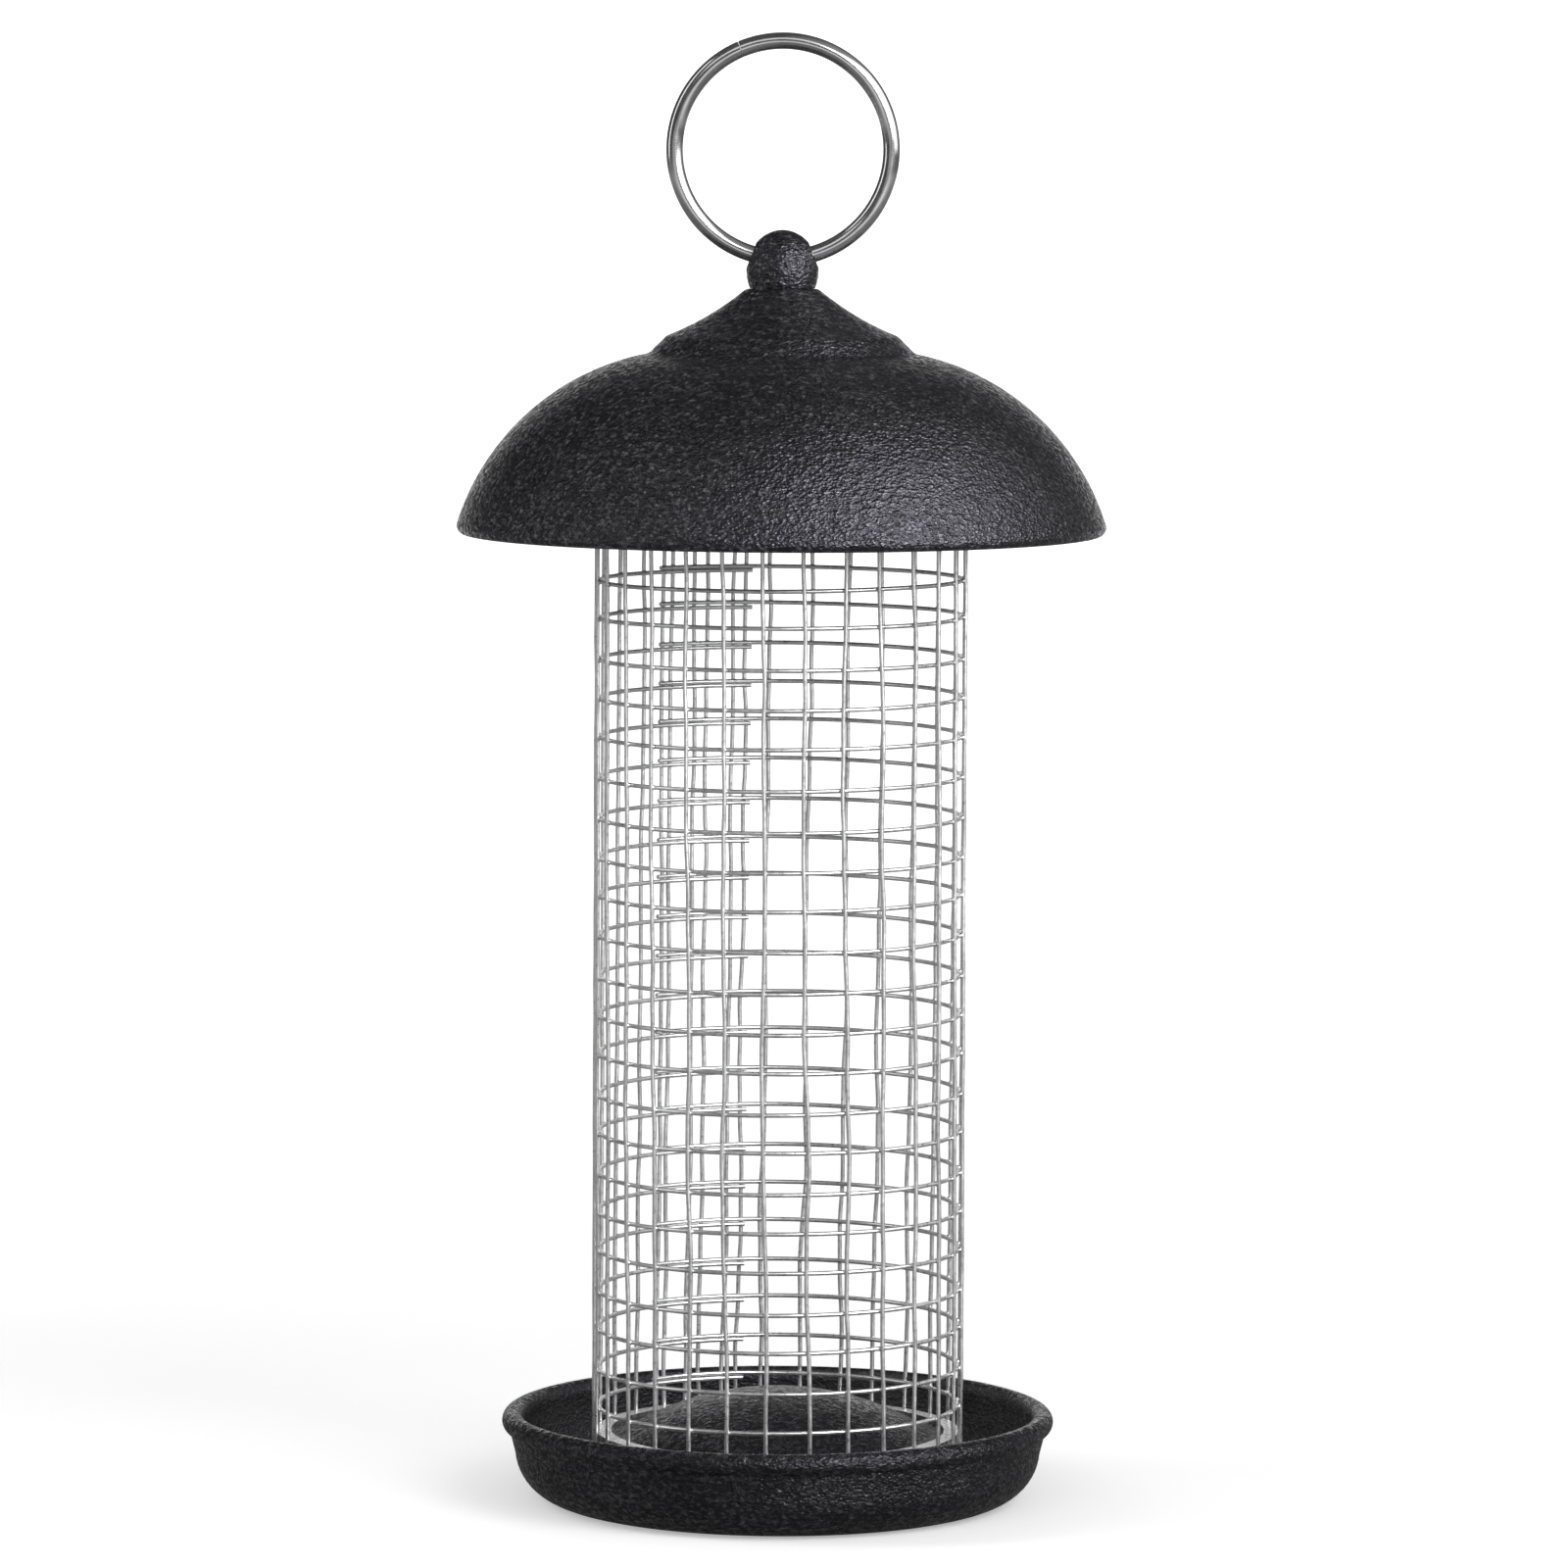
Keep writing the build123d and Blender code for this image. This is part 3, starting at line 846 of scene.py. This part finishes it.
def make_floor():
    """Pale floor that curves up behind the feeder into a backdrop."""
    section = [(FLOOR_FRONT, 0.0)]
    for i in range(BEND_STEPS + 1):
        a = math.pi / 2 * i / BEND_STEPS
        section.append((BEND_START + BEND_R * math.sin(a), BEND_R - BEND_R * math.cos(a)))
    section.append((BEND_START + BEND_R, BACKDROP_TOP))
    vertices = [(x, y, z) for y, z in section for x in (-FLOOR_HALF_WIDTH, FLOOR_HALF_WIDTH)]
    faces = [(2 * i, 2 * i + 1, 2 * i + 3, 2 * i + 2) for i in range(len(section) - 1)]
    floor = new_object("floor", vertices, faces, 60)
    made, tree, shader, where = material("floor")
    shade = tuple(level * FLOOR_SHADE for level in FLOOR_COLOUR)
    tone = ramp(tree, noise_of(tree, where, 3.0), [(0.3, shade), (0.7, FLOOR_COLOUR)])
    shader.inputs["Roughness"].default_value = FLOOR_ROUGHNESS
    shader.inputs["Specular IOR Level"].default_value = FLOOR_GLOSS
    far = tree.nodes.new("ShaderNodeVectorMath")
    far.operation = "LENGTH"
    tree.links.new(where, far.inputs[0])
    glow_by_distance = span(tree, far.outputs["Value"], *GLOW_REACH, *GLOW_LEVELS)
    place = tree.nodes.new("ShaderNodeSeparateXYZ")
    tree.links.new(where, place.inputs["Vector"])
    sideways = math_of(tree, "ABSOLUTE", place.outputs["X"], 0.0)
    beside = span(tree, sideways, *DIM_BESIDE_REACH, 1.0, SIDE_TONE)
    above = span(tree, place.outputs["Z"], *DIM_ABOVE_REACH, 1.0, SIDE_TONE)
    eye, gloss = eye_rays(tree), gloss_rays(tree)
    mirrored = span(tree, far.outputs["Value"], *DIM_NEAR_REACH, DIM_NEAR, 1.0)
    mirrored = math_of(tree, "MULTIPLY", mirrored, math_of(tree, "MULTIPLY", beside, above))
    tree.links.new(mix(tree, "MULTIPLY", gloss, tone, mirrored), shader.inputs["Base Color"])
    shown = math_of(tree, "ADD", eye, math_of(tree, "MULTIPLY", gloss, mirrored))
    glow = tree.nodes.new("ShaderNodeEmission")
    tree.links.new(math_of(tree, "MULTIPLY", shown, glow_by_distance), glow.inputs["Strength"])
    both = tree.nodes.new("ShaderNodeAddShader")
    tree.links.new(shader.outputs["BSDF"], both.inputs[0])
    tree.links.new(glow.outputs["Emission"], both.inputs[1])
    tree.links.new(both.outputs["Shader"], tree.nodes["Material Output"].inputs["Surface"])
    dress(floor, made)


def towards(tree, direction, aim, low, high):
    """One where a direction points near an aim, falling to zero away from it.

    Low and high are the cosines where it reaches zero and one.
    """
    dot = tree.nodes.new("ShaderNodeVectorMath")
    dot.operation = "DOT_PRODUCT"
    tree.links.new(direction, dot.inputs[0])
    dot.inputs[1].default_value = Vector(aim).normalized()
    return span(tree, dot.outputs["Value"], low, high, 0.0, 1.0)


def make_world():
    """White studio to the eye. Reflections find it bright on the right and behind, dim elsewhere."""
    world = bpy.data.worlds.new("world")
    world.use_nodes = True
    tree = world.node_tree
    background = tree.nodes["Background"]
    where = tree.nodes.new("ShaderNodeTexCoord").outputs["Generated"]
    right = math_of(tree, "MULTIPLY", towards(tree, where, RIGHT_SIDE, *RIGHT_EDGE), RIGHT_TONE)
    bright = math_of(tree, "MAXIMUM", right, towards(tree, where, BACK_SIDE, *BACK_EDGE))
    room = span(tree, bright, 0.0, 1.0, ROOM_TONE, 1.0)
    strength = span(tree, eye_rays(tree), 0.0, 1.0, WORLD_LIGHT, 1.0)
    strength = mix(tree, "MIX", gloss_rays(tree), strength, room)
    tree.links.new(strength, background.inputs["Strength"])
    background.inputs["Color"].default_value = (1.0, 1.0, 1.0, 1.0)
    bpy.context.scene.world = world


def add_lamp(name, place, aim, size, watts, diffuse=True, gloss=True):
    """Soft rectangular lamp that points at a place.

    One without diffuse light is a card that only shows in reflections.
    """
    data = bpy.data.lights.new(name, "AREA")
    data.shape = "RECTANGLE"
    data.size, data.size_y = size
    data.energy = watts
    lamp = bpy.data.objects.new(name, data)
    bpy.context.scene.collection.objects.link(lamp)
    lamp.location = place
    lamp.visible_camera = False
    lamp.visible_diffuse = diffuse
    lamp.visible_glossy = gloss
    lamp.rotation_mode = "QUATERNION"
    lamp.rotation_quaternion = (Vector(aim) - Vector(place)).to_track_quat("-Z", "Y")


make_floor()
make_world()
add_lamp("key", (0.80, -0.84, 0.85), (0, 0, 0.15), (0.7, 0.7), 8.2, gloss=False)
add_lamp("card_key", (0.76, -0.86, 0.60), (0, 0, 0.15), (1.2, 0.6), 29.0, diffuse=False)
add_lamp("front", (-0.10, -1.20, 1.00), (0, 0, 0.15), (1.4, 0.5), 3.5)
add_lamp("fill_left", (-1.25, -0.10, 0.75), (0, 0, 0.15), (0.35, 1.1), 6.0, gloss=False)
add_lamp("card_low", (0, -1.40, 0.19), (0, 0, 0.05), (1.6, 0.30), 0.8, diffuse=False)
add_lamp("card_right", (1.25, -0.60, 0.80), (0, 0, 0.20), (1.6, 1.3), 18.0, diffuse=False)
add_lamp("card_left", (-1.30, -0.25, 0.78), (0, 0, 0.20), (0.45, 1.5), 5.2, diffuse=False)
bpy.context.scene.view_settings.view_transform = "Standard"
